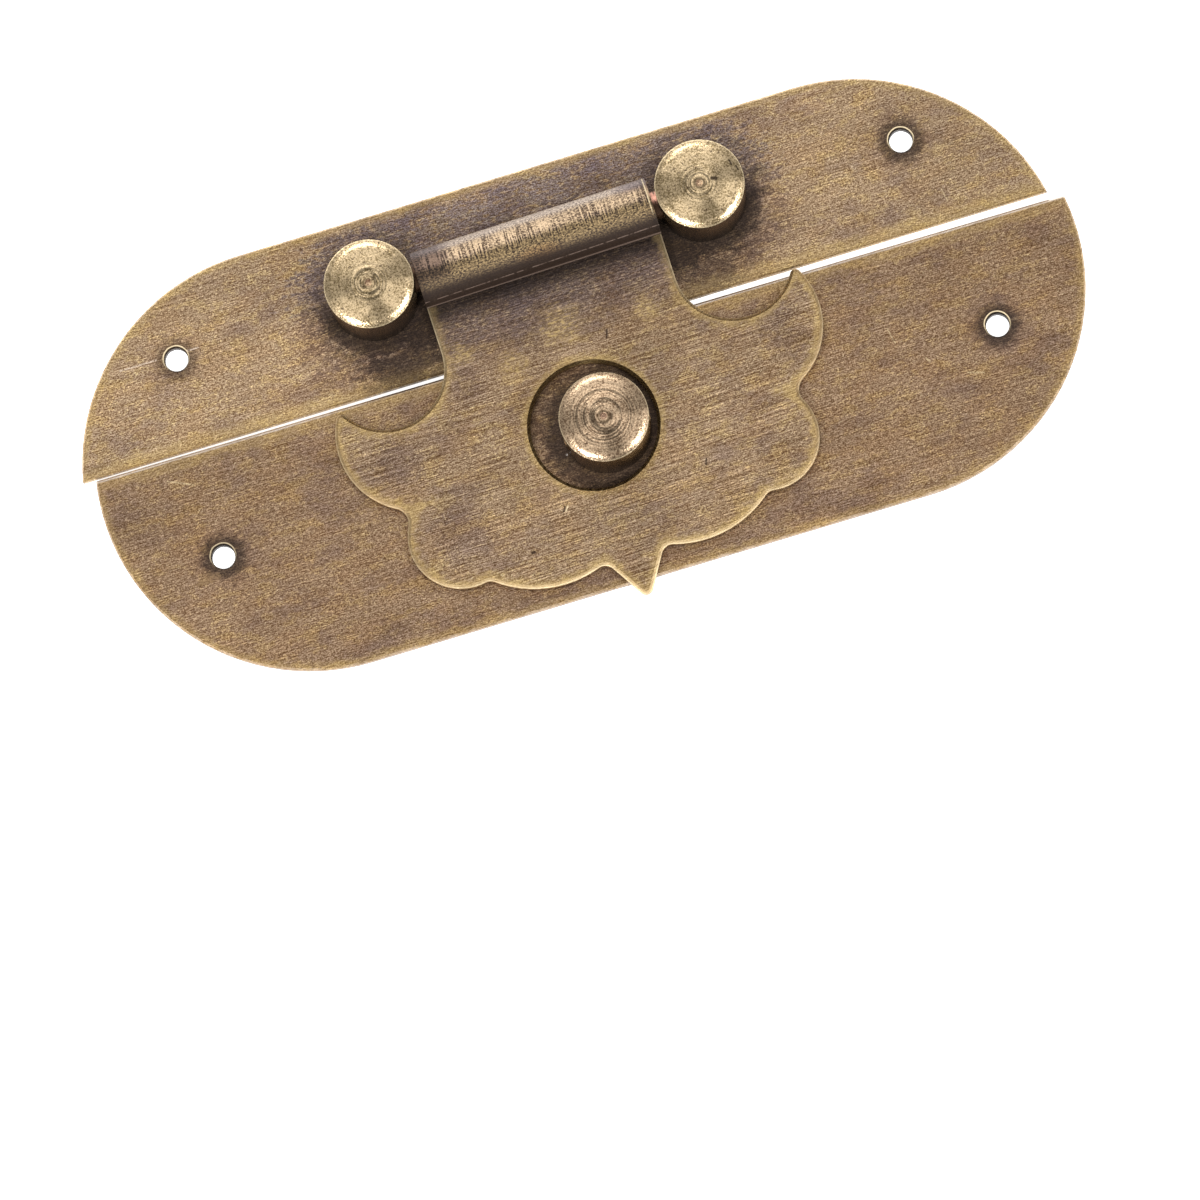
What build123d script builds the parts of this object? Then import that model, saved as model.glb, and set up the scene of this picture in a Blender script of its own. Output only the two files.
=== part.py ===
from build123d import *
from math import radians, tan
import os

# Oval latch for a box. The upper plate goes on the lid and the lower plate on the box, with a slit
# between them. A scalloped hasp swings on a pin between two studs on the upper plate, and drops over
# a third stud on the lower plate, which is drilled across for a padlock.
# Sizes are in millimetres. X runs along the slit, Y points up the lid and Z points off the wood.
# The origin is on the back of the upper plate, straight under the middle of the hinge pin.

# The oval sheet, and the slit that parts it
plate_length = 113.3
plate_height = 48.5
plate_thickness = 1.2
plate_edge_bevel = 0.2
hinge_to_top_edge = 9.05
hinge_to_slit = 10.59
slit_width = 0.63
slit_skew = -0.18  # degrees that the lower half's edge of the slit is cut askew
lower_plate_shift = 1.5  # the lower half is set a little to the right of the upper half
lower_plate_turn = -0.15  # degrees that it lies askew, so that the slit opens to the right

# Screw holes, with a worn mouth
screw_hole_diameter = 2.6
screw_mouth = 0.2
upper_screw_inset = 14.35
upper_screw_drop = 0.3
lower_screw_inset = 11.65
lower_screw_drop = 23.4

# Turned studs, riveted through the plates and spread into a countersink at the back
stud_diameter = 10.0
stud_height = 8.5
stud_shoulder_width = 1.1
stud_shoulder_drop = 0.45
stud_crown = 0.12
pip_diameter = 0.9
pip_height = 0.12
lock_stud_drop = 22.0
rivet_diameter = 5.0
rivet_sink = 0.5
rivet_recess = 0.05
rivet_clearance = 0.03

# Hinge pin, held at each end in a blind hole in a hinge stud
pin_diameter = 3.2
pin_hole_depth = 3.0
pin_end_gap = 0.2
pin_clearance = 0.05

# Padlock hole across the lock stud
padlock_hole_diameter = 4.0
padlock_hole_height = 5.0

# Hasp sheet and the knuckle rolled at its end
hasp_thickness = 1.1
hasp_lift = 0.35
hasp_edge_bevel = 0.35
hasp_skew = 1.0  # degrees that the loose hasp lies askew on its pin
hasp_slide = -0.15  # sideways play taken up on the pin
hasp_hang = 0.2  # how far the loose knuckle hangs below the pin's middle
neck_width = 27.4
knuckle_clearance = 0.1
knuckle_end_gap = 0.45
knuckle_wrap = 285.0
knuckle_seam = 0.15

# Hasp outline. Each lobe is a round of its own, given by its distance out from the neck's edge or
# from the middle (spread), its distance below the knuckle's middle (drop) and its radius.
throat_drop = 8.1
throat_radius = 6.65
horn_beyond_neck = 5.55
horn_drop = 15.7
horn_radius = 8.85
side_lobe_beyond_neck = 4.1
side_lobe_drop = 28.45
side_lobe_radius = 5.95
bottom_lobe_spread = 8.15
bottom_lobe_drop = 25.0
bottom_lobe_radius = 12.25
point_drop = 41.85
point_angle = 63.0
stud_hole_rise = 0.6
stud_hole_clearance = 2.1
horn_tip_round = 0.6
waist_round = 1.8
notch_round = 1.2
point_root_round = 1.3
point_tip_round = 0.8

# Places that several pieces share
up_from_base = (Align.CENTER, Align.CENTER, Align.MIN)
pin_radius = pin_diameter / 2
knuckle_lean = neck_width / 2 * tan(radians(hasp_skew))
knuckle_inner_radius = pin_radius + hasp_hang + knuckle_lean + knuckle_clearance
knuckle_outer_radius = knuckle_inner_radius + hasp_thickness
hasp_floor = plate_thickness + hasp_lift
pin_axis_height = hasp_floor + knuckle_outer_radius
stud_gap = neck_width + 2 * knuckle_end_gap
pin_hole_span = stud_gap + 2 * pin_hole_depth
hinge_stud_reach = (stud_gap + stud_diameter) / 2
hinge_stud_places = [(-hinge_stud_reach, 0), (hinge_stud_reach, 0)]
lock_stud_place = (lower_plate_shift, -lock_stud_drop)


def oval():
    """Outline of both plates together, before the slit parts them."""
    return Pos(0, hinge_to_top_edge - plate_height / 2) * SlotOverall(plate_length, plate_height)


def screw_hole():
    """Cutter for a screw hole and its worn mouth."""
    radius = screw_hole_diameter / 2
    shank = Cylinder(radius, plate_thickness, align=up_from_base)
    mouth = Cone(radius, radius + screw_mouth, screw_mouth, align=up_from_base)
    return shank + Pos(0, 0, plate_thickness - screw_mouth) * mouth


def rivet(clearance):
    """Shank of a stud through the plate, spread into the countersink at the back."""
    radius = rivet_diameter / 2 + clearance
    shank = Cylinder(radius, plate_thickness, align=up_from_base)
    return shank + Cone(radius + rivet_sink, radius, rivet_sink, align=up_from_base)


def half_plate(outline, screw_places, stud_places):
    """Flat sheet with a bevelled front edge, its screw holes and the seats of its studs."""
    sheet = extrude(outline, plate_thickness)
    sheet = chamfer(sheet.faces().sort_by(Axis.Z)[-1].edges(), plate_edge_bevel)
    for place in screw_places:
        sheet -= Pos(*place) * screw_hole()
    for place in stud_places:
        sheet -= Pos(*place) * rivet(rivet_clearance)
    return sheet


def upper_plate():
    """Half of the oval above the slit."""
    above_slit = Rectangle(plate_length, plate_height, align=(Align.CENTER, Align.MIN))
    outline = oval() & (Pos(0, -hinge_to_slit) * above_slit)
    reach = plate_length / 2 - upper_screw_inset
    screws = [(-reach, -upper_screw_drop), (reach, -upper_screw_drop)]
    return half_plate(outline, screws, hinge_stud_places)


def lower_plate():
    """Half of the oval below the slit, moved sideways and turned to where it lies."""
    below_slit = Rectangle(2 * plate_length, plate_height, align=(Align.CENTER, Align.MAX))
    outline = oval() & (Pos(0, -hinge_to_slit - slit_width) * Rot(0, 0, slit_skew) * below_slit)
    reach = plate_length / 2 - lower_screw_inset
    below_stud = lock_stud_drop - lower_screw_drop
    screws = [(-reach, below_stud), (reach, below_stud)]
    outline = Pos(0, lock_stud_drop) * outline
    plate = half_plate(outline, screws, [(0, 0)])
    return Pos(*lock_stud_place) * Rot(0, 0, lower_plate_turn) * plate


def riveted_stud():
    """Turned post with a falling shoulder, a faintly coned face, the lathe's pip and a rivet shank."""
    radius = stud_diameter / 2
    face_edge_height = stud_height - stud_crown
    face_edge = (radius - stud_shoulder_width, face_edge_height)
    rim = (radius, face_edge_height - stud_shoulder_drop)
    outside = Polyline((0, stud_height), (0, 0), (radius, 0), rim)
    shoulder = TangentArc(face_edge, rim, tangent=(1, 0))
    profile = make_face([outside, shoulder, Line(face_edge, (0, stud_height))])
    post = revolve(Plane.XZ * profile, Axis.Z)
    pip = Cone(pip_diameter / 2, pip_diameter / 4, pip_height + stud_crown, align=up_from_base)
    post += Pos(0, 0, face_edge_height) * pip
    sunk_end = Box(stud_diameter, stud_diameter, rivet_recess, align=up_from_base)
    return Pos(0, 0, plate_thickness) * post + (rivet(0) - sunk_end)


def rod_on_hinge_line(diameter, length):
    """Round bar along the hinge line."""
    return Pos(0, 0, pin_axis_height) * Rot(0, 90, 0) * Cylinder(diameter / 2, length)


def hinge_stud(place):
    """Stud with a blind hole on its inner side for the end of the pin."""
    pin_hole = rod_on_hinge_line(pin_diameter + 2 * pin_clearance, pin_hole_span)
    return Pos(*place) * riveted_stud() - pin_hole


def lock_stud():
    """Stud with a padlock hole right across it, along X."""
    hole = Rot(0, 90, 0) * Cylinder(padlock_hole_diameter / 2, 2 * stud_diameter)
    drilled = riveted_stud() - Pos(0, 0, plate_thickness + padlock_hole_height) * hole
    return Pos(*lock_stud_place) * drilled


def hinge_pin():
    """Plain pin, a little shorter than the two blind holes allow."""
    return rod_on_hinge_line(pin_diameter, pin_hole_span - 2 * pin_end_gap)


def lobe(spread, drop, radius):
    """Filled round on the right half of the hasp, its start point turned to face the middle."""
    return Pos(spread, -drop) * Rot(0, 0, 180) * Circle(radius)


def hasp_half():
    """Right half of the hasp's outline, with sharp corners."""
    inner_top = (Align.MIN, Align.MAX)
    neck_edge = neck_width / 2
    throat_spread = neck_edge + throat_radius
    half = Rectangle(neck_edge, bottom_lobe_drop, align=inner_top)
    half += Pos(0, -throat_drop) * Rectangle(throat_spread, throat_radius, align=inner_top)
    half += lobe(neck_edge + horn_beyond_neck, horn_drop, horn_radius)
    half += lobe(neck_edge + side_lobe_beyond_neck, side_lobe_drop, side_lobe_radius)
    half += lobe(bottom_lobe_spread, bottom_lobe_drop, bottom_lobe_radius)
    point_top = (point_drop - bottom_lobe_drop) * tan(radians(point_angle / 2))
    middle = (0, -bottom_lobe_drop)
    half += Polygon((0, -point_drop), (point_top, -bottom_lobe_drop), middle, align=None)
    return half - lobe(throat_spread, throat_drop, throat_radius)


def hasp_outline():
    """Whole outline, with every corner from the point up to the horn tips rounded."""
    half = hasp_half()
    outline = half + mirror(half, about=Plane.YZ)
    corners_from_the_point_up = outline.vertices().group_by(Axis.Y)
    rounds = (point_tip_round, point_root_round, notch_round, waist_round, horn_tip_round)
    for corners, radius in zip(corners_from_the_point_up, rounds):
        for corner in corners:
            outline = fillet(outline.vertices().sort_by_distance(corner)[0], radius)
    stud_hole = Circle(stud_diameter / 2 + stud_hole_clearance)
    return outline - Pos(0, hasp_hang + stud_hole_rise - lock_stud_drop) * stud_hole


def knuckle_section():
    """The roll seen along X, centred on the pin: it leaves the flat under the pin, goes up behind it,
    over it, and straight down in front to a seam just above the flat."""
    outer = CenterArc((0, 0), knuckle_outer_radius, -90, knuckle_wrap)
    inner = CenterArc((0, 0), knuckle_inner_radius, -90, knuckle_wrap)
    onward = outer % 1
    seam_height = knuckle_seam - knuckle_inner_radius
    tail = onward * ((seam_height - (outer @ 1).Y) / onward.Y)
    outer_end = outer @ 1 + tail
    inner_end = inner @ 1 + tail
    edges = [outer, inner, Line(inner @ 0, outer @ 0)]
    edges += [Line(outer @ 1, outer_end), Line(outer_end, inner_end), Line(inner_end, inner @ 1)]
    return make_face(edges)


def hasp():
    """One sheet: the scalloped flat with bevelled front edges, and the knuckle rolled at its end."""
    flat = extrude(hasp_outline(), hasp_thickness)
    front_edges = flat.faces().sort_by(Axis.Z)[-1].edges().sort_by(Axis.Y)
    flat = chamfer(front_edges[:-1], hasp_edge_bevel)
    roll = extrude(Plane.YZ * knuckle_section(), neck_width / 2, both=True)
    sheet = Pos(0, 0, hasp_floor) * flat + Pos(0, 0, pin_axis_height) * roll
    return Pos(hasp_slide, -hasp_hang, 0) * Rot(0, 0, hasp_skew) * sheet


pieces = {
    "upper_plate": upper_plate(),
    "lower_plate": lower_plate(),
    "left_stud": hinge_stud(hinge_stud_places[0]),
    "right_stud": hinge_stud(hinge_stud_places[1]),
    "lock_stud": lock_stud(),
    "hinge_pin": hinge_pin(),
    "hasp": hasp(),
}

os.makedirs("parts", exist_ok=True)
for name, piece in pieces.items():
    export_step(piece, f"parts/{name}.step")
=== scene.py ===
from math import cos, radians, sin

import bpy
from mathutils import Matrix, Vector


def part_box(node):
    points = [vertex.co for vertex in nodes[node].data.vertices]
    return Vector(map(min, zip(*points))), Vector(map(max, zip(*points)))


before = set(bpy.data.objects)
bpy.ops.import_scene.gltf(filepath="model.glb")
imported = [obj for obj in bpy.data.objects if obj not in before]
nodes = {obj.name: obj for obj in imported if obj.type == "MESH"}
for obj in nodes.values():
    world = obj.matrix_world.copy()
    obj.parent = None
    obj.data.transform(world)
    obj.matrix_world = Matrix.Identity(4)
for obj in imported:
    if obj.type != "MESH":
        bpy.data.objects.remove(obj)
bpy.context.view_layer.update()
scene = bpy.context.scene
scene.view_settings.view_transform = "Standard"

# The frame is in metres. Finishes are laid out in millimetres, in the same axes.
MM = 0.001


def middle_of(node):
    """Middle of a node's box in plan, in millimetres."""
    low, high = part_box(node)
    return (low.x + high.x) / 2 / MM, (low.y + high.y) / 2 / MM


def edge_of(node, axis, side):
    """Where a node's box ends along an axis, in millimetres; side 0 is its low end and 1 its high end."""
    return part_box(node)[side][axis] / MM


# Studs
LEFT_STUD = middle_of("left_stud")
RIGHT_STUD = middle_of("right_stud")
LOCK_STUD = middle_of("lock_stud")
STUD_RADIUS = edge_of("left_stud", 0, 1) - LEFT_STUD[0]
STUD_TOP = edge_of("left_stud", 2, 1)

# Plates: both are cut from one oval. The lower one is moved with the lock stud, and turned about it.
OVAL_TOP = edge_of("upper_plate", 1, 1)
OVAL_RADIUS = 24.25
OVAL_STRAIGHT = 32.4
UPPER_SLIT = edge_of("upper_plate", 1, 0)
SLIT_WIDTH = 0.63
LOWER_SLIT = UPPER_SLIT - SLIT_WIDTH
LOWER_SLIT_SKEW = radians(-0.18)
LOWER_TURN = radians(-0.15)
UPPER_SCREWS = [(-42.3, -0.3), (42.3, -0.3)]
LOWER_SCREWS = [(-45.0, -23.4), (45.0, -23.4)]
SCREW_HOLE_RADIUS = 1.3

# Hasp, in its own straight frame before it hangs askew on the pin. Rounds are a place and a radius, on the
# right half; the blends are how softly they run into each other.
HASP_SKEW = radians(1.0)
HASP_SLIDE = -0.15
HASP_HANG = 0.2
HASP_FACE = 2.65
BARREL_HEIGHT = 4.789
BARREL_RADIUS = 3.239
NECK_EDGE = 13.7
THROAT = ((20.35, -8.1), 6.65)
HORN = ((19.25, -15.7), 8.85)
SIDE_LOBE = ((17.8, -28.45), 5.95)
BOTTOM_LOBE = ((8.15, -25.0), 12.25)
POINT_TIP = -41.85
POINT_HALF_ANGLE = radians(31.5)
STUD_HOLE = ((0.0, -21.2), 7.1)
LOBE_BLEND = 0.8
POINT_BLEND = 1.0


def tone(red, green, blue):
    """A colour as the eye reads it, 0 to 255, turned into the light that it stands for."""
    parts = []
    for share in (red / 255, green / 255, blue / 255):
        parts.append(share / 12.92 if share <= 0.04045 else ((share + 0.055) / 1.055) ** 2.4)
    return (*parts, 1.0)


class Field:
    """A number that changes over a surface, used in sums like any other number."""

    def __init__(self, finish, socket):
        self.finish = finish
        self.socket = socket

    def maths(self, operation, *others):
        inputs = dict(enumerate((self, *others)))
        return self.finish.node("ShaderNodeMath", {"operation": operation}, inputs)

    def __add__(self, other):
        return self.maths("ADD", other)

    __radd__ = __add__

    def __sub__(self, other):
        return self.maths("SUBTRACT", other)

    def __rsub__(self, other):
        return self.finish.node("ShaderNodeMath", {"operation": "SUBTRACT"}, {0: other, 1: self})

    def __mul__(self, other):
        return self.maths("MULTIPLY", other)

    __rmul__ = __mul__

    def __truediv__(self, other):
        return self.maths("DIVIDE", other)

    def __abs__(self):
        return self.maths("ABSOLUTE")

    def lower(self, other):
        return self.maths("MINIMUM", other)

    def higher(self, other):
        return self.maths("MAXIMUM", other)

    def joined(self, other, blend):
        """The higher of two, with a soft change from one to the other."""
        return self.maths("SMOOTH_MAX", other, blend)

    def root(self):
        return self.maths("SQRT")

    def turned_from(self, other):
        """Angle whose sine and cosine go as this and the other, in radians."""
        return self.maths("ARCTAN2", other)

    def rise(self, start, end):
        """0 before start and 1 past end; it falls instead where end is below start."""
        inputs = {"Value": self, "From Min": start, "From Max": end}
        return self.finish.node("ShaderNodeMapRange", {"interpolation_type": "SMOOTHSTEP"}, inputs)

    def band(self, place, half_width):
        """1 at a place and 0 beyond half_width on either side of it."""
        return abs(self - place).rise(half_width, half_width * 0.3)

    def swing(self, amount):
        """A noise about 0.5 turned into one about 0, and scaled."""
        return (self - 0.5) * amount

    def output(self, name):
        """Another output of the node that this one comes from."""
        return Field(self.finish, self.socket.node.outputs[name])


class Finish:
    """One material, with the place on the piece in millimetres as x, y and z, and how far it faces up."""

    def __init__(self, name):
        self.material = bpy.data.materials.new(name)
        self.material.use_nodes = True
        self.tree = self.material.node_tree
        self.tree.nodes.clear()
        place = self.node("ShaderNodeTexCoord", {}, {}, "Object")
        scaled = self.node("ShaderNodeVectorMath", {"operation": "SCALE"}, {0: place, "Scale": 1 / MM})
        self.x = self.node("ShaderNodeSeparateXYZ", {}, {0: scaled})
        self.y = self.x.output("Y")
        self.z = self.x.output("Z")
        self.upward = self.node("ShaderNodeSeparateXYZ", {}, {0: place.output("Normal")}, "Z")

    def node(self, kind, settings, inputs, output=0):
        """Adds one node: its settings first, then the values or links of its sockets."""
        made = self.tree.nodes.new(kind)
        for name, value in settings.items():
            setattr(made, name, value)
        for key, value in inputs.items():
            if isinstance(value, Field):
                self.tree.links.new(value.socket, made.inputs[key])
            else:
                made.inputs[key].default_value = value
        return Field(self, made.outputs[output])

    def clouds(self, x, y, z, detail=2.0, roughness=0.5):
        """Soft noise about 0.5, with features about one unit of x, y and z across."""
        place = self.node("ShaderNodeCombineXYZ", {}, {0: x, 1: y, 2: z})
        inputs = {"Vector": place, "Scale": 1.0, "Detail": detail, "Roughness": roughness}
        return self.node("ShaderNodeTexNoise", {}, inputs)

    def smooth(self, x, y, z):
        """The same noise without finer detail on it."""
        return self.clouds(x, y, z, detail=1.0)

    def sloped(self):
        """1 on bevels and walls, and 0 on faces that look straight up."""
        return self.upward.rise(0.97, 0.75)

    def upright(self):
        """1 on walls, and 0 on bevels and faces."""
        return self.upward.rise(0.45, 0.15)

    def mixed(self, first, second, share):
        """One colour laid over another by a share from 0 to 1."""
        inputs = {0: share, 6: first, 7: second}
        return self.node("ShaderNodeMix", {"data_type": "RGBA"}, inputs, 2)

    def glazed(self, colour, tint, share):
        """A colour seen through a thin tinted coat, by a share from 0 to 1."""
        inputs = {0: share, 6: colour, 7: tint}
        return self.node("ShaderNodeMix", {"data_type": "RGBA", "blend_type": "MULTIPLY"}, inputs, 2)

    def shaded(self, colour, amount):
        """A colour made darker or lighter by an amount about 1."""
        grey = self.node("ShaderNodeCombineXYZ", {}, {0: amount, 1: amount, 2: amount})
        return self.node("ShaderNodeVectorMath", {"operation": "MULTIPLY"}, {0: colour, 1: grey})

    def metal(self, colour, roughness, metallic, height):
        """Ends the finish: height is in millimetres above the true surface."""
        inputs = {"Height": height, "Distance": MM, "Strength": 1.0}
        normal = self.node("ShaderNodeBump", {}, inputs)
        inputs = {"Base Color": colour, "Roughness": roughness, "Metallic": metallic, "Normal": normal}
        shader = self.node("ShaderNodeBsdfPrincipled", {}, inputs)
        self.node_out(shader)

    def node_out(self, shader):
        """Links a shader to the material's surface."""
        end = self.tree.nodes.new("ShaderNodeOutputMaterial")
        self.tree.links.new(shader.socket, end.inputs["Surface"])


# Colours of the brass, its marks and the floor
BARK = tone(78, 60, 48)
WALNUT = tone(98, 72, 48)
TAN = tone(236, 209, 174)
STRAW = tone(208, 186, 148)
CREAM = tone(236, 217, 178)
MUSHROOM = tone(214, 196, 178)
PALE_GOLD = tone(218, 192, 157)
YELLOW_GOLD = tone(196, 178, 128)
LIGHT_GOLD = tone(198, 180, 130)
OLD_GOLD = tone(182, 156, 106)
ROSE_GOLD = tone(184, 150, 128)
BRONZE = tone(122, 98, 70)
COPPER = tone(205, 152, 132)
# Sooty dark, for marks and for painted shade on the studs' sides
SOOT_AND_SHADE = tone(42, 31, 26)
ASH = tone(132, 114, 104)
CHALK = tone(238, 228, 220)
PAPER = tone(244, 244, 244)
BRIGHT_PAPER = tone(250, 250, 250)

# Barrel, from its back over its top to its front: the bright parts of its crackle, and the dark ones
# Both run from a painted reflection, pale behind, to painted shade, dark in front
BARREL_PALE_PAINTED_LIGHT = [tone(184, 167, 150), tone(192, 167, 136), tone(152, 129, 92), tone(52, 39, 30)]
BARREL_DARK_PAINTED_LIGHT = [tone(88, 74, 66), tone(72, 55, 40), tone(40, 28, 15), tone(42, 31, 25)]

# Tints of the thin coats over the brass; the slate, smoky and sooty coats also lay painted shade
OLIVE_COAT = (1.13, 1.13, 0.95, 1.0)
RUSSET_COAT = (1.0, 0.96, 0.9, 1.0)
VIOLET_COAT = (0.68, 0.67, 0.8, 1.0)
SLATE_PATINA_AND_SHADE_COAT = (0.61, 0.66, 0.96, 1.0)
SMOKE_AND_SHADE_COAT = (0.51, 0.46, 0.43, 1.0)
SOOT_AND_SHADE_COAT = (0.11, 0.09, 0.08, 1.0)
ROSE_COAT = (1.0, 0.945, 0.94, 1.0)
RUST_COAT = (1.05, 0.8, 0.55, 1.0)

# Sheet brass: its roughness, what grain and grime add to that, the depth of the grain in millimetres, how
# much grime takes from the metal, the shares of fibres and specks in the grain, and the slant of nicks
SHEET_ROUGHNESS = 0.42
GRAIN_ROUGHNESS = 0.25
GRIME_ROUGHNESS = 0.1
GRAIN_DEPTH = 0.03
GRIME_DULLS = 0.35
FIBRE_SHARE = 0.4
SPECK_SHARE = 0.55
NICK_SLANT = 0.6

# Studs: roughness of the turned face, and what its grain adds
STUD_ROUGHNESS = 0.27
STUD_GRAIN_ROUGHNESS = 0.35

# The painted highlight on a screw hole's lip and the painted shade on its wall are centred a little above
# the hole's middle
MOUTH_RISE = 0.13

# Where painted shade lies deepest at the hinge; the corner is there on both sides
HINGE_CORNER = (15.2, -4.6)
LEFT_THROAT_SHADE = (-17.5, -7.0)
RIGHT_THROAT_SHADE = (17.0, -7.5)

# Painted highlights on the barrel along the end of the roll and where the roll meets the flat, as lengths
# round it from its top, and a spot of rust
ROLL_END = 3.36
ROLL_FOOT = 4.95
RUST_SPOT = (0.05, 1.7)

# Sectors of a stud's face made brighter as painted highlights, where a turned face catches the lamps: where
# they lie and how wide they are
SHEEN_SECTORS = [(radians(-134), radians(42)), (radians(-40), radians(40)), (radians(88), radians(78))]

# Stains and rubs on the hasp: place and size
HASP_STAINS = [((-22.0, -18.5), 4.0), ((-17.5, -28.5), 4.5), ((23.5, -15.0), 2.4), ((-12.0, -12.5), 3.0)]
HASP_RUBS = [((-0.2, -9.5), 2.2), ((-6.5, -12.0), 1.6), ((9.5, -10.5), 1.5), ((-11.5, -9.0), 1.2)]

# Scratches and nicks: start, end, width and colour; on the stud they are all sooty
HASP_MARKS = [
    ((4.35, -12.25), (4.65, -11.35), 0.14, SOOT_AND_SHADE), ((-6.15, -29.45), (-5.8, -28.95), 0.12, SOOT_AND_SHADE),
    # The next cream stroke is a painted highlight along the edge of the dark nick before it
    ((-5.9, -29.5), (-5.5, -29.0), 0.1, CREAM), ((10.5, -29.3), (10.75, -28.7), 0.12, SOOT_AND_SHADE),
    ((-10.8, -32.8), (-10.6, -32.8), 0.25, SOOT_AND_SHADE)]
UPPER_MARKS = [
    ((-48.7, 0.3), (-44.5, 0.3), 0.13, MUSHROOM), ((-40.9, 0.3), (-39.6, 0.3), 0.13, MUSHROOM),
    ((45.0, -6.9), (45.3, -8.4), 0.12, STRAW)]
LOWER_MARKS = [
    ((-48.6, -13.4), (-46.0, -14.6), 0.14, STRAW), ((-48.2, -25.6), (-46.2, -25.3), 0.6, BRONZE),
    ((33.1, -20.2), (33.5, -22.0), 0.12, STRAW), ((36.3, -24.7), (36.6, -25.1), 0.15, STRAW),
    ((40.3, -27.6), (42.0, -28.1), 0.14, STRAW), ((-5.1, -23.5), (-5.1, -23.45), 0.14, CHALK)]
RIGHT_STUD_MARKS = [
    ((1.5, 0.1), (1.9, -0.05), 0.3), ((3.9, 1.5), (4.0, 1.0), 0.14), ((4.45, 0.7), (4.55, 0.2), 0.12)]


def distance(x, y, place):
    """How far a spot is from a place, both in plan."""
    across = x - place[0]
    along = y - place[1]
    return (across * across + along * along).root()


def turned_back(x, y, angle):
    """A spot in plan, turned back by an angle."""
    return x * cos(angle) + y * sin(angle), y * cos(angle) - x * sin(angle)


def stroke(x, y, start, end, width):
    """1 along a short straight mark and 0 away from it."""
    run = Vector(end) - Vector(start)
    length = run.length
    run.normalize()
    across = x - start[0]
    along = y - start[1]
    reach = (across * run.x + along * run.y).higher(0.0).lower(length)
    across = across - reach * run.x
    along = along - reach * run.y
    return (across * across + along * along).root().rise(width, width * 0.4)


def highest(fields):
    """The highest of several fields at each spot."""
    top = fields[0]
    for field in fields[1:]:
        top = top.higher(field)
    return top


def graded(finish, colours, place, spans):
    """Colours one after another along a place, with a span for each change."""
    colour = colours[0]
    for following, (start, end) in zip(colours[1:], spans):
        colour = finish.mixed(colour, following, place.rise(start, end))
    return colour


def inside_round(x, y, lobe):
    """How deep a spot lies inside a round."""
    place, radius = lobe
    return radius - distance(x, y, place)


def inside_oval(x, y):
    """How deep a spot lies inside the oval of the plates."""
    past_straight = (abs(x) - OVAL_STRAIGHT).higher(0.0)
    across = y - (OVAL_TOP - OVAL_RADIUS)
    return OVAL_RADIUS - (past_straight * past_straight + across * across).root()


def inside_hasp(x, y):
    """How deep a spot lies inside the hasp's scalloped outline, without its hole."""
    side = abs(x)
    drop = y - POINT_TIP
    point = drop * sin(POINT_HALF_ANGLE) - side * cos(POINT_HALF_ANGLE)
    point = point.lower(BOTTOM_LOBE[0][1] - y)
    depth = (NECK_EDGE - side).lower(y - BOTTOM_LOBE[0][1])
    for lobe in (HORN, SIDE_LOBE, BOTTOM_LOBE):
        depth = depth.joined(inside_round(side, y, lobe), LOBE_BLEND)
    depth = depth.joined(point, POINT_BLEND)
    return depth.lower(distance(side, y, THROAT[0]) - THROAT[1])


def brushed(finish, x, y, seed, along, threading):
    """Broken fibres and long threads along the sheet with specks between them, about 0.5."""
    wander = finish.smooth(x * 0.05, y * 0.2, seed + 3.0) * 0.8
    fibres = finish.smooth(x * along, (y + wander) * 6.4, seed)
    threads = finish.smooth(x * 0.16, (y + wander) * 7.5, seed + 7.0)
    specks = finish.smooth(x * 6.0, y * 7.0, seed + 14.0)
    return 0.5 + fibres.swing(FIBRE_SHARE) + threads.swing(threading) + specks.swing(SPECK_SHARE)


def sheet_colour(finish, x, y, grain, seed, light, blush):
    """Aged sheet brass: grain from dark to light, bright glints and nicks, dark pits, russet and violet
    stains, and yellow rubs."""
    colour = finish.mixed(WALNUT, TAN, grain.rise(0.32, 0.9))
    glints = finish.smooth(x * 3.4, y * 6.2, seed + 50.0)
    colour = finish.mixed(colour, CREAM, glints.rise(0.66, 0.76) * 0.55)
    nicks = finish.smooth((x + y * NICK_SLANT) * 1.4, (y - x * NICK_SLANT) * 6.0, seed + 55.0)
    colour = finish.mixed(colour, CREAM, nicks.rise(0.68, 0.75) * 0.6)
    pits = finish.smooth(x * 2.6, y * 3.4, seed + 58.0)
    colour = finish.glazed(colour, SMOKE_AND_SHADE_COAT, pits.rise(0.68, 0.76) * 0.7)
    russet = finish.clouds(x * 0.2, y * 0.3, seed + 45.0, detail=4.0, roughness=0.65)
    colour = finish.glazed(colour, RUSSET_COAT, russet.rise(0.46, 0.6))
    stain = finish.clouds(x * 0.14, y * 0.2, seed + 20.0, detail=4.0, roughness=0.65) + grain.swing(0.2)
    colour = finish.glazed(colour, VIOLET_COAT, stain.rise(0.47, 0.68) * 0.75)
    colour = finish.glazed(colour, ROSE_COAT, blush)
    rub = finish.clouds(x * 0.35, y * 0.6, seed + 40.0, detail=4.0, roughness=0.7) + grain.swing(0.4)
    colour = finish.glazed(colour, OLIVE_COAT, rub.rise(0.5, 0.62))
    drift = finish.clouds(x * 0.05, y * 0.09, seed + 60.0)
    return finish.shaded(colour, light * (0.78 + 0.48 * drift))


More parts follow.
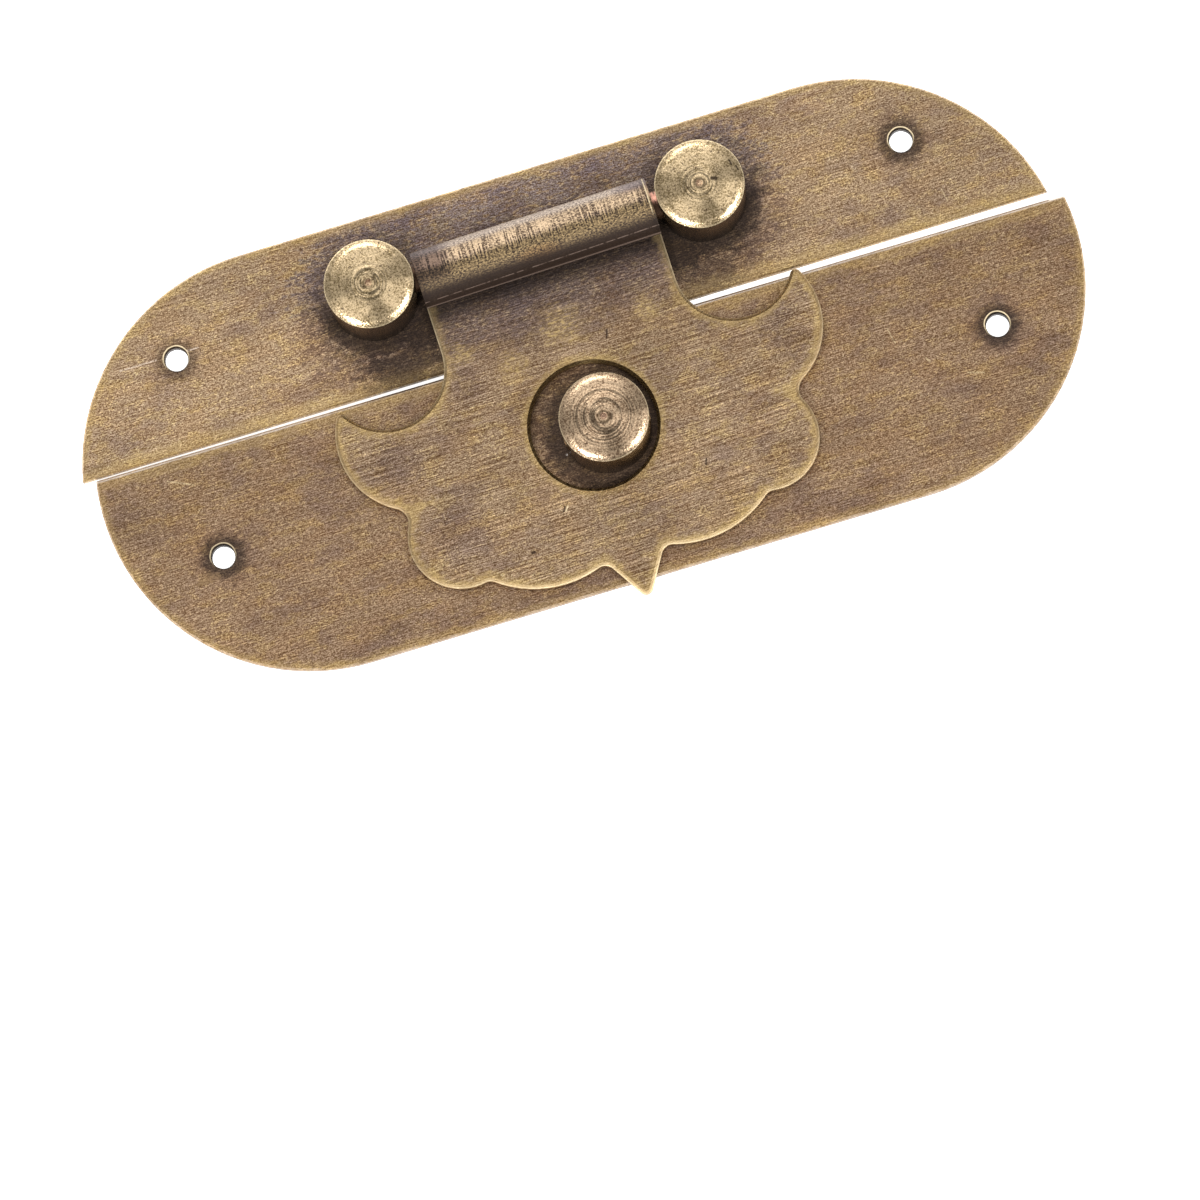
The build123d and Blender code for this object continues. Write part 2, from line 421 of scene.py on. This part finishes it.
def plate_finish(name, seed, light, fading, blush, along, slit_shine,
                 place, slit_depth_at, screws, grime_and_shade_at, marks):
    """Finish of one half of the oval, laid out in the oval's own frame.

    The light falls by fading for each millimetre to the right. Each screw hole has its place, the reach and
    strength of the grime round it, and how bright the painted highlight on its lip is.
    """
    finish = Finish(name)
    x, y = place(finish)
    z = finish.z
    grain = brushed(finish, x + z, y + z, seed, along, threading=0.25)
    colour = sheet_colour(finish, x, y, grain, seed, light - x * fading, blush)

    tears = finish.clouds(x * 0.6, y * 1.1, seed + 80.0, detail=6.0, roughness=0.68)
    ragged = tears.swing(2.0) + grain.swing(0.35)
    flecks = finish.clouds(x * 1.2, y * 2.6, seed + 70.0, detail=3.0, roughness=0.65).rise(0.53, 0.6) * 0.75
    slit_depth = slit_depth_at(x, y)
    rim_depth = inside_oval(x, y)
    worn_slit = (slit_depth + ragged * 1.6).rise(2.0, 0.6) * 0.8
    worn_rim = (rim_depth + ragged * 1.1).rise(1.2, 0.3) * 0.7
    worn = worn_slit.higher(worn_rim)

    slate, smoke_and_shade, soot_and_shade = grime_and_shade_at(x, y, ragged)
    lip_highlights = []
    walls = []
    for screw, reach, strength, lip_highlight_strength in screws:
        away = distance(x, y, screw)
        # A painted highlight on the lip's lit side, painted shade on the hole's wall, and grime round the
        # hole
        mouth = distance(x, y, (screw[0], screw[1] + MOUTH_RISE)) + ragged * 0.1
        lit_side = (y - screw[1]).rise(-1.4, 0.4)
        lip_highlights.append(mouth.band(SCREW_HOLE_RADIUS + 0.15, 0.1) * lit_side * lip_highlight_strength)
        walls.append(mouth.rise(SCREW_HOLE_RADIUS + 0.12, SCREW_HOLE_RADIUS + 0.04))
        walls.append(away.rise(SCREW_HOLE_RADIUS + 0.06, SCREW_HOLE_RADIUS + 0.01))
        smoke_and_shade = smoke_and_shade.higher((away + ragged * 2.4).rise(reach, reach * 0.6) * strength)
        soot_and_shade = soot_and_shade.higher((away + ragged * 0.9).rise(reach * 0.7, reach * 0.42) * strength * 0.75)
    colour = finish.glazed(colour, SLATE_PATINA_AND_SHADE_COAT, slate * (1.0 - worn.higher(flecks)))
    colour = finish.glazed(colour, SMOKE_AND_SHADE_COAT, smoke_and_shade * (1.0 - (worn * 0.5).higher(flecks)))
    colour = finish.glazed(colour, OLIVE_COAT, worn)
    colour = finish.mixed(colour, OLD_GOLD, worn * grain * 0.55)
    colour = finish.glazed(colour, SOOT_AND_SHADE_COAT, soot_and_shade)
    colour = finish.glazed(colour, SOOT_AND_SHADE_COAT, highest(walls) * 0.85)
    colour = finish.mixed(colour, CREAM, highest(lip_highlights))
    broken = grain.rise(0.35, 0.55)
    for start, end, width, shade in marks:
        colour = finish.mixed(colour, shade, stroke(x, y, start, end, width) * broken * 0.6)

    # Painted highlight on the bevel round the oval's rim, and painted shade on the plate's side wall
    off_slit = 1.0 - slit_depth.rise(0.3, 0.15)
    bevel_highlight = finish.sloped() * rim_depth.rise(1.0, 0.7) * off_slit * z.rise(0.3, 0.8)
    colour = finish.mixed(colour, MUSHROOM, bevel_highlight * (0.18 + ragged * 0.8))
    edge_wall_shade = finish.upright() * rim_depth.rise(0.3, 0.1)
    colour = finish.glazed(colour, SMOKE_AND_SHADE_COAT, edge_wall_shade * 0.85)
    # Painted highlight along the slit's edge, weaker to the left of the hasp
    left_of_hasp = x.band(-18.0, 16.0)
    slit_highlight = (slit_depth + ragged * 0.15).rise(0.42, 0.12) * (1.0 - 0.65 * left_of_hasp)
    colour = finish.mixed(colour, CHALK, slit_highlight * slit_shine)

    roughness = SHEET_ROUGHNESS + grain.swing(GRAIN_ROUGHNESS) + GRIME_ROUGHNESS * smoke_and_shade
    finish.metal(colour, roughness, 1.0 - smoke_and_shade * GRIME_DULLS, grain.swing(GRAIN_DEPTH))
    return finish.material


def upper_place(finish):
    """Place on the upper plate, which is the oval's frame."""
    return finish.x, finish.y


def lower_place(finish):
    """Place on the lower plate, moved and turned back to the oval's frame."""
    x, y = turned_back(finish.x - LOCK_STUD[0], finish.y - LOCK_STUD[1], LOWER_TURN)
    return x, y + LOCK_STUD[1]


def hasp_place(finish):
    """Place on the hasp, moved and turned back to its own straight frame."""
    return turned_back(finish.x - HASP_SLIDE, finish.y + HASP_HANG, HASP_SKEW)


def upper_slit_depth(x, y):
    """How far a spot on the upper plate lies from the slit; its edge there is straight along x."""
    return y - UPPER_SLIT


def lower_slit_depth(x, y):
    """How far a spot on the lower plate lies from the slit; its edge there is askew."""
    return LOWER_SLIT + x * sin(LOWER_SLIT_SKEW) - y


def upper_grime_and_shade(x, y, ragged):
    """Patina round the hinge: slate above the barrel, smoky patina round the studs and in the throats,
    painted shade in the corners, in the throats and at the studs' feet, and a line scraped clean beyond
    them."""
    side = abs(x)
    past_stud = (side - RIGHT_STUD[0]).higher(0.0)
    reach = (past_stud * past_stud + y * y).root() + ragged * 9.0
    slate = reach.rise(10.0, 7.5) * (0.3 + 0.65 * y.rise(-3.0, 4.0))

    foot = distance(side, y, RIGHT_STUD)
    under = (y + ragged * 3.0).rise(3.5, -2.5)
    smoke_and_shade = highest([
        (foot - under * 1.4 + ragged * 6.0).rise(9.4, 5.6) * (0.7 + 0.3 * under),
        reach.rise(11.8, 8.8) * y.rise(-0.5, -4.0),
        (y + ragged * 4.0).rise(5.2, 3.6) * 0.7 * side.rise(16.0, 12.0)])

    corner = distance(side, y, HINGE_CORNER) + ragged * 3.0
    left_throat = distance(x, y, LEFT_THROAT_SHADE) + ragged * 5.0
    right_throat = distance(x, y, RIGHT_THROAT_SHADE) + ragged * 5.0
    # Painted shade at the studs' feet, in the hinge's corners and in the throats
    soot_and_shade = highest([
        (foot + ragged * 2.4).rise(8.2, 5.8) * (0.28 + 0.54 * under),
        (foot + ragged * 0.8).rise(6.9, 5.9) * (y - ragged).rise(2.0, -1.5) * 0.88,
        corner.rise(4.2, 2.2) * 0.92,
        left_throat.rise(7.0, 3.0) * 0.78,
        right_throat.rise(6.0, 2.4) * 0.5])

    scrape = foot.band(6.9, 0.4) * side.rise(16.5, 20.0) * ragged.rise(-0.12, 0.1)
    left_on = 1.0 - scrape * 0.6
    return slate, smoke_and_shade * left_on, soot_and_shade * left_on


def lower_shade(x, y, ragged):
    """Painted shade round the foot of the lock stud and under the rim of the hasp's hole, in two strengths,
    and no slate.
    """
    away = distance(x, y, (0.0, LOCK_STUD[1]))
    # Painted shade: the hasp's shadow in its hole, and the darkness at the stud's foot
    smoke_and_shade = (away + ragged * 6.0).rise(9.4, 7.0)
    soot_and_shade = (away + ragged * 1.4).rise(7.9, 6.2) * 0.72
    return 0.0, smoke_and_shade, soot_and_shade


def hasp_finish(name, seed, light):
    """Finish of the hasp: worn scalloped sheet, painted highlights on its bevels and shade below the
    barrel, and the barrel rolled at its end.
    """
    finish = Finish(name)
    x, y = hasp_place(finish)
    z = finish.z
    grain = brushed(finish, x + z, y + z, seed, along=1.8, threading=0.44)
    tears = finish.clouds(x * 0.8, y * 1.1, seed + 80.0, detail=5.0, roughness=0.75)
    ragged = tears.swing(1.0) + grain.swing(0.4)
    colour = sheet_colour(finish, x, y, grain, seed, light, blush=0.3)
    for place, size in HASP_STAINS:
        stain = (distance(x, y, place) + ragged * size * 1.2).rise(size, size * 0.3)
        colour = finish.glazed(colour, VIOLET_COAT, stain * 0.8)

    rim_depth = inside_hasp(x, y)
    hole_depth = distance(x, y, STUD_HOLE[0]) - STUD_HOLE[1]
    depth = rim_depth.lower(hole_depth)
    worn = (depth + ragged * 2.6).rise(1.3, 0.3)
    # Painted shade below the barrel, slate-tinted and deepening towards it, broken by gold flecks
    shade_under_barrel = (y + ragged * 5.0).rise(-13.0, -5.0)
    flecks = finish.clouds(x * 1.5, y * 3.6, seed + 70.0, detail=4.0, roughness=0.66).rise(0.5, 0.6)
    shade_share = 0.9 - flecks * 0.5
    colour = finish.glazed(colour, SLATE_PATINA_AND_SHADE_COAT, shade_under_barrel * shade_share)
    colour = finish.glazed(colour, SMOKE_AND_SHADE_COAT, (y + ragged * 8.0).rise(-15.0, -5.5) * shade_share)
    colour = finish.glazed(colour, SOOT_AND_SHADE_COAT, (y + ragged * 2.0).rise(-6.0, -3.2) * 0.85)
    colour = finish.glazed(colour, OLIVE_COAT, worn)
    colour = finish.mixed(colour, OLD_GOLD, worn * grain * 0.75 * (1.0 - shade_under_barrel * 0.4))
    for place, size in HASP_RUBS:
        rub = (distance(x, y, place) + ragged * size * 2.0).rise(size * 1.4, size * 0.3)
        colour = finish.mixed(colour, OLD_GOLD, rub * (0.15 + 0.6 * flecks))
    for start, end, width, shade in HASP_MARKS:
        colour = finish.mixed(colour, shade, stroke(x, y, start, end, width) * 0.8)

    # Painted highlights on the outer bevels, cream at their foot, and painted shade on the side wall below
    outer = (hole_depth - rim_depth).rise(0.0, 0.5)
    bevel_highlight = finish.sloped() * rim_depth.rise(0.8, 0.5)
    bevel_foot_highlight = z.band(HASP_FACE - 0.3, 0.12)
    wall_shade_below_bevel = z.rise(HASP_FACE - 0.4, HASP_FACE - 0.6)
    colour = finish.mixed(colour, STRAW, bevel_highlight * outer * (0.3 + ragged))
    colour = finish.mixed(colour, CREAM, bevel_foot_highlight * outer * (0.5 + ragged))
    colour = finish.glazed(colour, SMOKE_AND_SHADE_COAT, wall_shade_below_bevel * 0.9)

    barrel = z.rise(HASP_FACE + 0.1, HASP_FACE + 0.25)
    colour = finish.mixed(colour, barrel_colour(finish, x, y, z, ragged, seed), barrel)
    roughness = SHEET_ROUGHNESS + grain.swing(GRAIN_ROUGHNESS) + GRIME_ROUGHNESS * barrel
    rolled_edge = (0.9 - depth).higher(0.0) * (1.0 - barrel)
    height = grain.swing(GRAIN_DEPTH) - rolled_edge * rolled_edge * 0.06
    finish.metal(colour, roughness, 1.0 - shade_under_barrel * GRIME_DULLS, height)
    return finish.material


def barrel_colour(finish, x, y, z, ragged, seed):
    """Rolled barrel: scratched gold along the top and crackled gold next to it, under painted light: pale
    mauve behind as a painted reflection and dark in front as painted shade."""
    rounds = (y * -1.0).turned_from(z - BARREL_HEIGHT) * BARREL_RADIUS
    place = rounds + ragged * 0.7
    # Painted light: pale behind as a painted reflection, dark in front as painted shade
    bright = graded(finish, BARREL_PALE_PAINTED_LIGHT, place, [(-2.8, -1.8), (-0.8, 0.1), (0.8, 2.6)])
    dark = graded(finish, BARREL_DARK_PAINTED_LIGHT, place, [(-2.6, -1.4), (-0.8, 0.0), (0.6, 2.1)])
    web = finish.clouds(x * 1.7, rounds * 3.4, seed + 90.0, detail=2.0, roughness=0.6)
    veins = abs(web - 0.5).rise(0.09, 0.01)
    crackle = finish.smooth(x * 4.0, rounds * 5.6, seed + 95.0).rise(0.45, 0.62).higher(veins * 0.5)
    crackle = crackle * (1.0 - place.rise(-0.5, 0.1) * 0.2) + place.rise(-0.1, -0.7) * 0.04
    ticks = finish.smooth(x * 5.0, rounds * 0.35, seed + 100.0).rise(0.4, 0.6)
    clusters = finish.smooth(x * 0.33, rounds * 0.3, seed + 105.0).rise(0.4, 0.54)
    scratched = (rounds + ragged * 0.8).band(-1.0, 2.1) * (0.4 + 0.5 * clusters)
    colour = finish.mixed(dark, bright, crackle + ticks.swing(1.0) * scratched)
    comb = rounds.band(-0.2, 0.7) * clusters * (1.0 - ticks)
    colour = finish.glazed(colour, VIOLET_COAT, comb)
    rust = distance(x * 0.35, rounds, RUST_SPOT) + ragged * 0.8
    colour = finish.glazed(colour, RUST_COAT, rust.rise(1.2, 0.4) * 0.45)

    left_end = (x + ragged * 4.0).rise(-8.8, -11.2) * rounds.rise(2.0, 0.5)
    right_end = (x + ragged * 3.0).rise(9.0, 11.8) * rounds.rise(-1.3, -2.4)
    colour = finish.glazed(colour, VIOLET_COAT, left_end.higher(right_end))
    colour = finish.glazed(colour, SMOKE_AND_SHADE_COAT, left_end.higher(right_end * 0.55))
    colour = finish.glazed(colour, SMOKE_AND_SHADE_COAT, (abs(x) + ragged).rise(12.6, 13.4) * 0.6)
    # Painted highlights along the end of the roll, where the roll meets the flat, and at the barrel's right
    # end
    broken = finish.clouds(x * 0.9, 0.0, seed + 110.0, detail=3.0, roughness=0.65).rise(0.4, 0.55)
    roll_end_highlight = (rounds + x * 0.02).band(ROLL_END, 0.1) * broken * 0.8
    roll_foot_highlight = (rounds + x * 0.01).band(ROLL_FOOT, 0.4) * 0.9
    colour = finish.mixed(colour, ASH, roll_end_highlight.higher(roll_foot_highlight))
    end_edge_highlight = x.band(NECK_EDGE - 0.28, 0.1) * rounds.rise(1.8, 0.6) * (0.45 + ragged * 1.5)
    return finish.mixed(colour, CREAM, end_edge_highlight)


def stud_finish(name, place, seed, warm, ring_reach, light, marks):
    """Finish of a turned stud: pale worn face with lathe rings and painted highlights in sectors, and a
    side darkened towards its foot as painted shade.
    """
    finish = Finish(name)
    x = finish.x - place[0]
    y = finish.y - place[1]
    z = finish.z
    radius = (x * x + y * y).root().higher(0.05)
    round_x = x / radius
    round_y = y / radius
    grain = finish.smooth(x * 5.2, y * 5.2, z * 5.2 + seed)
    blots = finish.clouds(x * 0.9, y * 0.9, z * 0.9 + seed + 5.0, detail=4.0, roughness=0.65)
    face = finish.mixed(BRONZE, PALE_GOLD, (grain * 0.6 + blots * 0.4).rise(0.36, 0.58))
    face = finish.mixed(face, warm, 0.25)
    rings = finish.smooth(radius * 5.5, round_x * 0.6, round_y * 0.6 + seed)
    ring_share = radius.rise(ring_reach, ring_reach * 0.55) * 0.85 + 0.15
    face = finish.shaded(face, light * (1.0 + rings.rise(0.36, 0.64).swing(1.2) * ring_share))
    # Painted highlights in sectors of the face, the middle a little brighter, and painted shade on the
    # shoulder
    sectors = []
    for azimuth, spread in SHEEN_SECTORS:
        facing = round_x * cos(azimuth) + round_y * sin(azimuth) + blots.swing(0.3)
        sectors.append(facing.rise(cos(spread), 1.0))
    sheen = highest(sectors) * radius.rise(0.0, 3.6)
    face = finish.shaded(face, 0.56 + 0.66 * sheen + 0.15 * radius.rise(2.0, 0.5))
    shoulder = radius.rise(STUD_RADIUS - 1.3, STUD_RADIUS - 0.4)
    face = finish.shaded(face, 1.0 - shoulder * 0.12)
    face = finish.mixed(face, BRONZE, radius.band(0.62, 0.22) * 0.3)
    face = finish.mixed(face, COPPER, radius.rise(0.5, 0.3) * 0.25)
    specks = finish.clouds(x * 2.4, y * 2.4, seed + 30.0, detail=2.0, roughness=0.65)
    face = finish.mixed(face, BARK, specks.rise(0.6, 0.68) * 0.8)
    for start, end, width in marks:
        face = finish.mixed(face, SOOT_AND_SHADE, stroke(x, y, start, end, width) * 0.85)
    # Thin cream line at the rim: wear, with a painted highlight on the edge
    face = finish.mixed(face, CREAM, radius.rise(STUD_RADIUS - 0.14, STUD_RADIUS - 0.06) * 0.35)

    # The side is painted shade, darkest at its foot
    side = finish.mixed(SOOT_AND_SHADE, BRONZE, (z + blots.swing(7.0)).rise(0.5, 6.5))
    side = finish.shaded(side, 0.4 + grain * 0.8)
    on_top = z.rise(STUD_TOP - 0.85, STUD_TOP - 0.68)
    colour = finish.mixed(side, face, on_top)
    roughness = STUD_ROUGHNESS + grain.swing(STUD_GRAIN_ROUGHNESS)
    height = rings.swing(GRAIN_DEPTH) * ring_share + grain.swing(GRAIN_DEPTH)
    finish.metal(colour, roughness, 1.0, height * on_top)
    return finish.material


def pin_finish(name):
    """Finish of the pin: dark, with worn pink copper at its right end, kept to its top and back as a
    painted highlight.
    """
    finish = Finish(name)
    marks = finish.clouds(finish.x * 4.0, finish.y * 0.6, finish.z * 0.6, detail=3.0, roughness=0.6)
    # Pink copper only on the top and back of the right end, a painted highlight
    worn_lit_top = finish.x.rise(13.0, 13.8) * finish.z.rise(5.2, 6.0) * finish.y.rise(-0.4, 0.3)
    colour = finish.mixed(BARK, COPPER, marks.rise(0.3, 0.6) * worn_lit_top)
    finish.metal(colour, 0.35 + 0.2 * marks, 1.0, marks.swing(0.02))
    return finish.material


def dress(node, material):
    """Gives a node its finish."""
    nodes[node].material_slots[0].material = material


dress("upper_plate", plate_finish(
    "upper_plate_brass", seed=3.0, light=1.005, fading=0.0015, blush=0.1, along=2.2, slit_shine=0.0,
    place=upper_place, slit_depth_at=upper_slit_depth, grime_and_shade_at=upper_grime_and_shade, marks=UPPER_MARKS,
    screws=[(UPPER_SCREWS[0], 4.0, 0.7, 0.75), (UPPER_SCREWS[1], 4.4, 0.95, 0.75)]))
dress("lower_plate", plate_finish(
    "lower_plate_brass", seed=11.0, light=0.79, fading=0.0005, blush=1.0, along=1.9, slit_shine=0.7,
    place=lower_place, slit_depth_at=lower_slit_depth, grime_and_shade_at=lower_shade, marks=LOWER_MARKS,
    screws=[(LOWER_SCREWS[0], 4.4, 1.0, 0.45), (LOWER_SCREWS[1], 4.2, 1.0, 0.75)]))
dress("hasp", hasp_finish("hasp_brass_aged", seed=23.0, light=0.87))
dress("left_stud", stud_finish(
    "left_stud_brass", LEFT_STUD, seed=31.0, warm=YELLOW_GOLD, ring_reach=2.6, light=1.04, marks=[]))
dress("right_stud", stud_finish(
    "right_stud_brass", RIGHT_STUD, seed=37.0, warm=LIGHT_GOLD, ring_reach=2.6, light=1.04,
    marks=RIGHT_STUD_MARKS))
dress("lock_stud", stud_finish(
    "lock_stud_brass", LOCK_STUD, seed=43.0, warm=ROSE_GOLD, ring_reach=4.2, light=0.92, marks=[]))
dress("hinge_pin", pin_finish("pin_copper_worn"))


# Floor, of white paper that glows a little so that it stays pale under the latch
FLOOR_SIZE = 6.0
FLOOR_DROP = 0.05 * MM
PAPER_ROUGHNESS = 0.9
PAPER_GLOW = 0.8
bpy.ops.mesh.primitive_plane_add(size=FLOOR_SIZE, location=(0, 0, -FLOOR_DROP))
floor = bpy.context.object
floor.name = "floor"
paper = Finish("floor_paper")
speck = paper.clouds(paper.x * 0.2, paper.y * 0.2, 0.0)
white = paper.mixed(PAPER, BRIGHT_PAPER, speck)
paper.node_out(paper.node("ShaderNodeBsdfPrincipled", {}, {
    "Base Color": white, "Roughness": PAPER_ROUGHNESS,
    "Emission Color": (1, 1, 1, 1), "Emission Strength": PAPER_GLOW}))
floor.data.materials.append(paper.material)


def soft_light(name, azimuth, elevation, away, size, power):
    """A square lamp that faces the latch: angles in degrees, lengths in metres and power in watts."""
    lamp = bpy.data.lights.new(name, "AREA")
    lamp.shape = "SQUARE"
    lamp.size = size
    lamp.energy = power
    turn = radians(azimuth)
    lift = radians(elevation)
    place = Vector((cos(turn) * cos(lift), sin(turn) * cos(lift), sin(lift))) * away
    made = bpy.data.objects.new(name, lamp)
    made.location = place
    made.rotation_mode = "QUATERNION"
    made.rotation_quaternion = place.to_track_quat("Z", "Y")
    scene.collection.objects.link(made)


soft_light("lamp_front_left", azimuth=-136, elevation=45, away=0.7, size=0.14, power=3.5)
soft_light("lamp_front_right", azimuth=-42, elevation=45, away=0.7, size=0.14, power=3.5)
soft_light("lamp_back", azimuth=90, elevation=42, away=0.8, size=0.4, power=2.0)

STUDIO_LIGHT = 0.9
world = bpy.data.worlds.new("studio")
world.use_nodes = True
background = world.node_tree.nodes["Background"]
background.inputs["Color"].default_value = (1.0, 1.0, 1.0, 1.0)
background.inputs["Strength"].default_value = STUDIO_LIGHT
scene.world = world


# Camera, high over the foot of the latch and turned, as in the photograph
CAMERA_TARGET = Vector((-4.75, -40.03, 0.0)) * MM
CAMERA_AWAY = 900 * MM
CAMERA_TILT = radians(9.036)
CAMERA_TURN = radians(-16.626)
CAMERA_LENS = 242.89
CAMERA_SENSOR = 36.0
CAMERA_NEAR = 0.05
CAMERA_FAR = 20.0
back = Vector((0.0, -sin(CAMERA_TILT), cos(CAMERA_TILT)))
up = Vector((-sin(CAMERA_TURN), cos(CAMERA_TURN), 0.0))
up = (up - back * up.dot(back)).normalized()
right = up.cross(back)
lens = bpy.data.cameras.new("camera")
lens.lens = CAMERA_LENS
lens.sensor_width = CAMERA_SENSOR
lens.clip_start = CAMERA_NEAR
lens.clip_end = CAMERA_FAR
camera = bpy.data.objects.new("camera", lens)
facing = Matrix((right, up, back)).transposed().to_4x4()
camera.matrix_world = Matrix.Translation(CAMERA_TARGET + back * CAMERA_AWAY) @ facing
scene.collection.objects.link(camera)
scene.camera = camera
